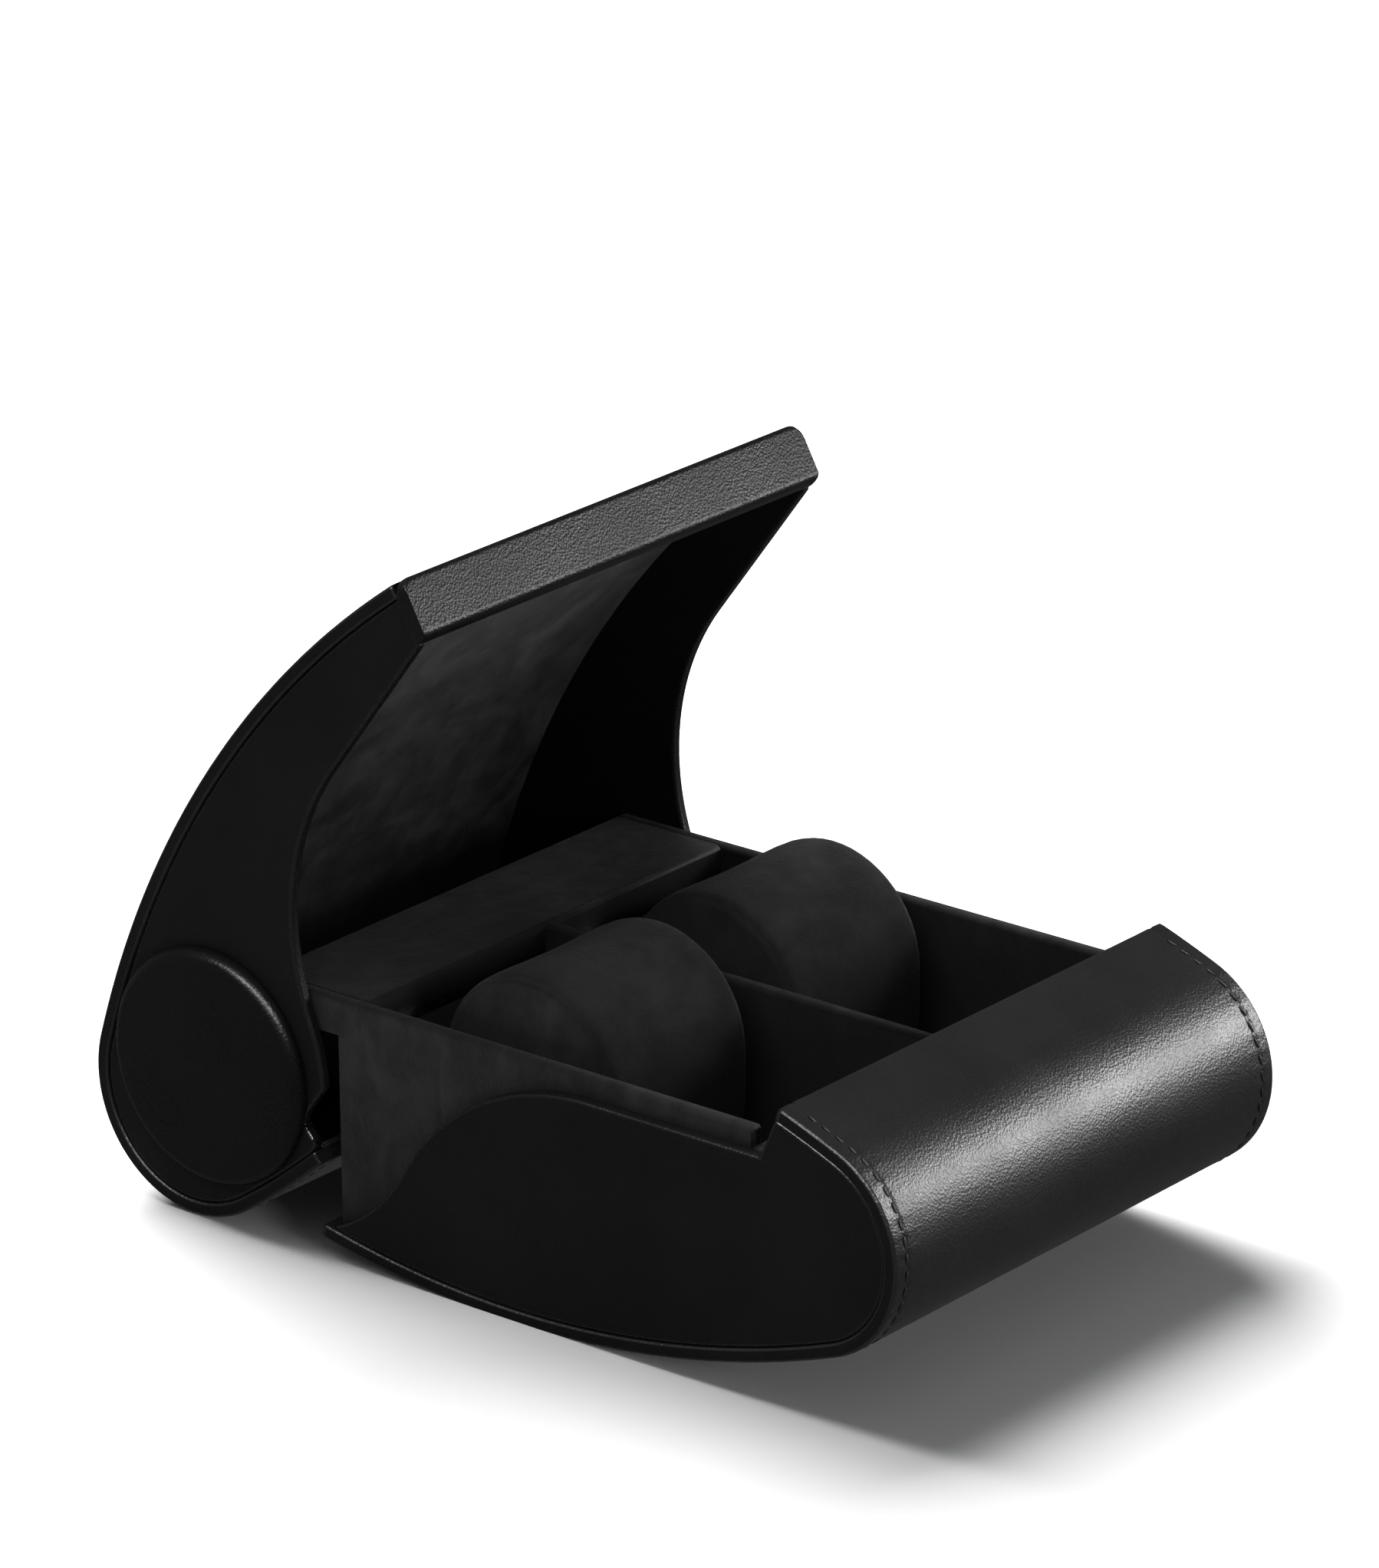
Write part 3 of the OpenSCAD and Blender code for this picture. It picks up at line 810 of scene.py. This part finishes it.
class WATCHCASE_OT_strips(bpy.types.Operator):
    """Leather strip along the lid's front and trim on the nose's step"""

    bl_idname = "watchcase.strips"
    bl_label = "Front strip and nose trim"

    def execute(self, context):
        s = size()
        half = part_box("lid_front_strip")[1].x
        corners = end_outline("lid_front_strip", half)
        section, foot, up, tall = padded_outline(corners, s.strip_round, s.strip_crown)
        if up.y < 0:
            foot, up = foot + up * tall, -up
        turn = Matrix(((0, 0, 1), (1, 0, 0), (0, 1, 0))).to_4x4()
        along = Matrix((up.to_3d(), (-up.y, up.x, 0), (0, 0, 1))).transposed().to_4x4()
        base = Matrix.Translation(foot.to_3d()) @ along
        fold, lip = s.strip_corner, s.strip_round
        rows = [(reach * lip, inset * lip) for reach, inset in STRIP_LIP]
        rows += [(fold * k, 0.0) for k in (0.55, 0.75, 1.0)]
        stations = []
        for reach, inset in rows:
            round_by = fold - math.sqrt(fold**2 - (fold - reach) ** 2)
            low = inset * UNDER_LIP
            squeeze = Matrix.Diagonal(((tall - low - round_by) / tall, 1, 1, 1))
            lift = Matrix.Translation((low, 0, 0))
            shape = base @ lift @ squeeze @ base.inverted()
            stations.append((half - reach, shape))
        ends = [Matrix.Translation((-x, 0, 0)) @ turn @ shape for x, shape in stations]
        span = [Matrix.Translation((half * k / 4, 0, 0)) @ turn for k in range(-3, 4)]
        stations.reverse()
        others = [Matrix.Translation((x, 0, 0)) @ turn @ shape for x, shape in stations]
        bm = carry([point.to_3d() for point in section], ends + span + others)
        add_piece("lid_strip_leather", bm, "lid", "trim_leather", ("lid_front_strip",))
        prism("nose_trim_leather", "nose_trim", "base", "trim_leather", 1, TRIM_ROUND)
        return {"FINISHED"}


FRONT_ROUND = 0.8 * MM
UPRIGHT = 1 * MM  # an edge that rises more than this runs upwards
NEAR = 1 * MM  # an edge closer than this to a side of its box lies on that side


class WATCHCASE_OT_tray(bpy.types.Operator):
    """Suede-covered boards of the tray"""

    bl_idname = "watchcase.tray"
    bl_label = "Tray"

    def execute(self, context):
        s = size()
        rim_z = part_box("tray_divider")[1].z
        ledge_low, ledge_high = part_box("tray_ledge")

        front_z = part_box("tray_front_wall")[1].z

        def top_edge(middle, edge):
            return middle.z > rim_z - SAME

        def ledge_edge(middle, edge):
            front_foot = middle.y < ledge_low.y + NEAR and middle.z < ledge_low.z + NEAR
            return abs(middle.x) < ledge_high.x - NEAR and not front_foot

        def divider_edge(middle, edge):
            across = abs(edge.verts[0].co.x - edge.verts[1].co.x)
            return top_edge(middle, edge) and across < SAME

        def wall_edge(middle, edge):
            inner = abs(middle.x) < abs(ledge_high.x) + SAME
            if inner and middle.y > ledge_low.y:
                return False
            rise = abs(edge.verts[0].co.z - edge.verts[1].co.z)
            return top_edge(middle, edge) or (middle.z > ledge_low.z and rise > UPRIGHT)

        for word, side in SIDES.items():
            prism(
                "tray_wall_suede_" + word,
                "tray_side_" + word,
                "base",
                "tray_suede",
                side,
                s.rim_round,
                wall_edge,
            )
        prism(
            "tray_front_suede",
            "tray_front_wall",
            "base",
            "tray_suede",
            1,
            FRONT_ROUND,
            lambda middle, edge: middle.z > front_z - SAME,
        )
        prism("tray_rear_suede", "tray_rear_wall", "base", "tray_suede")
        # the ledge wears a lighter copy of the tray's suede, painted light
        prism(
            "tray_ledge_suede",
            "tray_ledge",
            "base",
            "tray_suede",
            1,
            s.rim_round,
            ledge_edge,
            tidy=0,
            looks=("ledge_suede",),
        )
        prism(
            "tray_divider_suede",
            "tray_divider",
            "base",
            "tray_suede",
            1,
            s.rim_round,
            divider_edge,
        )
        prism("tray_floor_suede", "tray_floor", "base", "tray_suede")
        return {"FINISHED"}


LINING_SHEET = 1.0 * MM
LINING_GAPS = (0.2 * MM, 0.6 * MM)  # from the shell's ends to the lining's
LINING_STEP = 1.5 * MM
LINING_ROUND = 0.3 * MM


class WATCHCASE_OT_lining(bpy.types.Operator):
    """Suede lining of the lid"""

    bl_idname = "watchcase.lining"
    bl_label = "Lid lining"

    def execute(self, context):
        s = size()
        outline = Outline(s)
        half = -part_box("lid_lining")[0].x
        first, last = outline.reach("lid_shell", IN_LID)
        first, last = first + LINING_GAPS[0], last - LINING_GAPS[1]
        face = LINING_SHEET / 2
        depth = s.shell_thickness + face
        section = [(half, -face), (half, face), (-half, face), (-half, -face)]
        rows = rounded_ends(first, last, LINING_STEP, LINING_ROUND, LINING_SHEET, half)
        stations = [outline.station(d, depth, shrink) for d, shrink in rows]
        bm = sweep(section, stations)
        bmesh.ops.transform(bm, matrix=IN_LID, verts=bm.verts)
        add_piece("lid_lining_suede", bm, "lid", "lining_suede", ("lid_lining",))
        return {"FINISHED"}


PAD_TUCK = 0.5 * MM  # the disc's edge turns in this far at the back
PAD_FACE = ((0.0, 0.0), (0.35, 0.1), (0.65, 0.38))  # share of the radius, share of the crown


class WATCHCASE_OT_pads(bpy.types.Operator):
    """Padded discs over the lid's pivots"""

    bl_idname = "watchcase.pads"
    bl_label = "Padded discs"

    def execute(self, context):
        s = size()
        for word, side in SIDES.items():
            low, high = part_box("pivot_pad_" + word)
            radius, thick = (high.y - low.y) / 2, high.x - low.x
            centre = (low + high) / 2
            centre.x = high.x if side < 0 else low.x
            bend = s.pad_round
            face = [(radius * k, thick - s.pad_crown * fall) for k, fall in PAD_FACE]
            shoulder = arc_points(radius - bend, thick - s.pad_crown - bend, bend, 90, -8, 9)
            profile = face + shoulder + [(radius - PAD_TUCK, 0.0), (0.0, 0.0)]
            bm = bmesh.new()
            ring = [bm.verts.new((side * z, 0, r)) for r, z in profile]
            edges = [bm.edges.new(pair) for pair in zip(ring, ring[1:])]
            bmesh.ops.spin(
                bm,
                geom=ring + edges,
                cent=(0, 0, 0),
                axis=(1, 0, 0),
                angle=2 * math.pi,
                steps=96,
                use_merge=True,
            )
            bmesh.ops.remove_doubles(bm, verts=bm.verts, dist=WELD / 2)
            bmesh.ops.translate(bm, vec=centre, verts=bm.verts)
            name, nodes = "pivot_disc_" + word, ("pivot_pad_" + word,)
            pad = add_piece(name, bm, "lid", "pad_leather", nodes, weighted=False)
        return {"FINISHED"}


CUSHION_BULGE = 0.9 * MM
CUSHION_WAIST = 0.3 * MM
# millimetres past the end seam and in from the full section, from the end to the middle
CUSHION_END = (
    (1.0, 17),
    (1.15, 12),
    (0.7, 7),
    (0.1, 3.4),
    (-0.2, 2.2),
    (-0.45, 1.5),
    (-0.9, 1.45),
    (-1.25, 0.75),
    (-1.8, 0.32),
    (-2.8, 0.1),
    (-5, 0.0),
    (-9, 0.05),
    (-14, 0.2),
)


class WATCHCASE_OT_cushions(bpy.types.Operator):
    """Two upright suede cushions"""

    bl_idname = "watchcase.cushions"
    bl_label = "Cushions"

    def execute(self, context):
        for word in SIDES:
            nodes = ["cushion_%s_%s" % (part, word) for part in ("core", "cover", "ends")]
            low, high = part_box("cushion_ends_" + word)
            middle = (low + high) / 2
            wide, tall, half = high.y - low.y, high.z - low.z, (high.x - low.x) / 2
            r = wide / 2
            rise = tall / 2 - r
            section = arc_points(0, rise, r, 0, 180, 28) + arc_points(0, -rise, r, 180, 360, 28)
            left = [(CUSHION_BULGE - half - out * MM, inset * MM) for out, inset in CUSHION_END]
            full = left + [(0.0, CUSHION_WAIST)] + [(-x, inset) for x, inset in reversed(left)]
            turn = Matrix.Rotation(math.pi / 2, 4, "Z")
            stations = []
            for x, inset in full:
                squeeze = Matrix.Diagonal((1 - inset / r, 1, 1 - inset / (tall / 2), 1))
                stations.append(Matrix.Translation(middle + Vector((x, 0, 0))) @ turn @ squeeze)
            bm = sweep(section, stations)
            name = "cushion_" + word
            # the cushions wear a lighter copy of the tray's suede, painted light
            cushion = add_piece(name, bm, name, "cushion_suede", nodes, weighted=False)
        return {"FINISHED"}


class WATCHCASE_OT_fittings(bpy.types.Operator):
    """Finishes of the hidden wood, steel, nickel and nylon pieces"""

    bl_idname = "watchcase.fittings"
    bl_label = "Hidden fittings"

    def execute(self, context):
        slots = {part["node"]: part["material_slot"] for part in frame["record"]["subparts"]}
        for name, node in NODES.items():
            node.data.materials.clear()
            node.data.materials.append(finish(slots[name]))
        return {"FINISHED"}


FLOOR_HALF = 6.0
WORLD_STRENGTH = 0.1
SENSOR = 36
LENS = 198.18
CAMERA_SPOT = Vector((-1.17191, -0.96496, 0.65977))
CAMERA_FORWARD = Vector((0.72337, 0.59369, -0.35252))
CAMERA_ROLL = math.radians(0.467)


class WATCHCASE_OT_stage(bpy.types.Operator):
    """Pale floor, soft lights and the camera"""

    bl_idname = "watchcase.stage"
    bl_label = "Stage"

    def execute(self, context):
        scene = context.scene
        bm = bmesh.new()
        bmesh.ops.create_grid(bm, x_segments=1, y_segments=1, size=FLOOR_HALF)
        mesh = bpy.data.meshes.new("floor")
        bm.to_mesh(mesh)
        bm.free()
        floor = bpy.data.objects.new("floor", mesh)
        mesh.materials.append(finish("pale_floor"))
        scene.collection.objects.link(floor)
        floor.visible_glossy = False

        world = bpy.data.worlds.new("studio")
        world.use_nodes = True
        background = world.node_tree.nodes["Background"]
        background.inputs["Color"].default_value = (1, 1, 1, 1)
        background.inputs["Strength"].default_value = WORLD_STRENGTH
        scene.world = world

        def softbox(name, spot, target, wide, tall, watts, mirrored=True, lit=True):
            lamp = bpy.data.lights.new(name, "AREA")
            lamp.shape = "RECTANGLE"
            lamp.size, lamp.size_y, lamp.energy = wide, tall, watts
            light = bpy.data.objects.new(name, lamp)
            light.location = spot
            aim = Vector(target) - Vector(spot)
            light.rotation_euler = aim.to_track_quat("-Z", "Y").to_euler()
            light.visible_glossy = mirrored
            light.visible_diffuse = lit
            light.visible_camera = False
            scene.collection.objects.link(light)

        softbox("overhead", (0.3, 0.8, 1.1), (0, 0, 0), 1.3, 1.3, 56, False)
        nose_spot, nose_target = (0.371, -0.381, 0.223), (0, -0.1, 0.04)
        softbox("nose_side", nose_spot, nose_target, 0.26, 0.13, 2.9, lit=False)
        softbox("front_fill", (-0.45, -1.3, 0.4), (0, 0.05, 0.1), 0.4, 0.4, 4.6, False)
        edge_spot, edge_target = (-1.0, -0.25, 1.15), (-0.06, -0.02, 0.05)
        softbox("edge_light", edge_spot, edge_target, 1.8, 0.25, 45, lit=False)

        lens = bpy.data.cameras.new("camera")
        lens.sensor_width = SENSOR
        lens.lens = LENS
        lens.clip_start, lens.clip_end = 0.05, 30
        camera = bpy.data.objects.new("camera", lens)
        roll = Matrix.Rotation(CAMERA_ROLL, 3, CAMERA_FORWARD)
        turn = roll @ CAMERA_FORWARD.to_track_quat("-Z", "Y").to_matrix()
        camera.matrix_world = Matrix.Translation(CAMERA_SPOT) @ turn.to_4x4()
        scene.collection.objects.link(camera)
        scene.camera = camera
        scene.view_settings.view_transform = "Standard"
        return {"FINISHED"}


class WATCHCASE_PT_panel(bpy.types.Panel):
    """Sizes, colours and pieces of the watch case"""

    bl_idname = "WATCHCASE_PT_panel"
    bl_label = "Double Watch Case"
    bl_space_type = "VIEW_3D"
    bl_region_type = "UI"
    bl_category = "Watch Case"

    def draw(self, context):
        layout = self.layout
        for group in (context.scene.watch_case_sizes, context.scene.watch_case_colours):
            box = layout.box()
            for key in group.__annotations__:
                box.prop(group, key)
        for operator in OPERATORS:
            layout.operator(operator.bl_idname)


OPERATORS = (
    WATCHCASE_OT_stage,
    WATCHCASE_OT_shells,
    WATCHCASE_OT_panels,
    WATCHCASE_OT_strips,
    WATCHCASE_OT_tray,
    WATCHCASE_OT_lining,
    WATCHCASE_OT_pads,
    WATCHCASE_OT_cushions,
    WATCHCASE_OT_fittings,
)
CLASSES = (CaseSizes, CaseColours, *OPERATORS, WATCHCASE_PT_panel)


def register():
    for cls in CLASSES:
        bpy.utils.register_class(cls)
    bpy.types.Scene.watch_case_sizes = PointerProperty(type=CaseSizes)
    bpy.types.Scene.watch_case_colours = PointerProperty(type=CaseColours)


def unregister():
    del bpy.types.Scene.watch_case_colours
    del bpy.types.Scene.watch_case_sizes
    for cls in reversed(CLASSES):
        bpy.utils.unregister_class(cls)


def main():
    register()
    for operator in OPERATORS:
        group, name = operator.bl_idname.split(".")
        getattr(getattr(bpy.ops, group), name)()


if __name__ == "__main__":
    main()
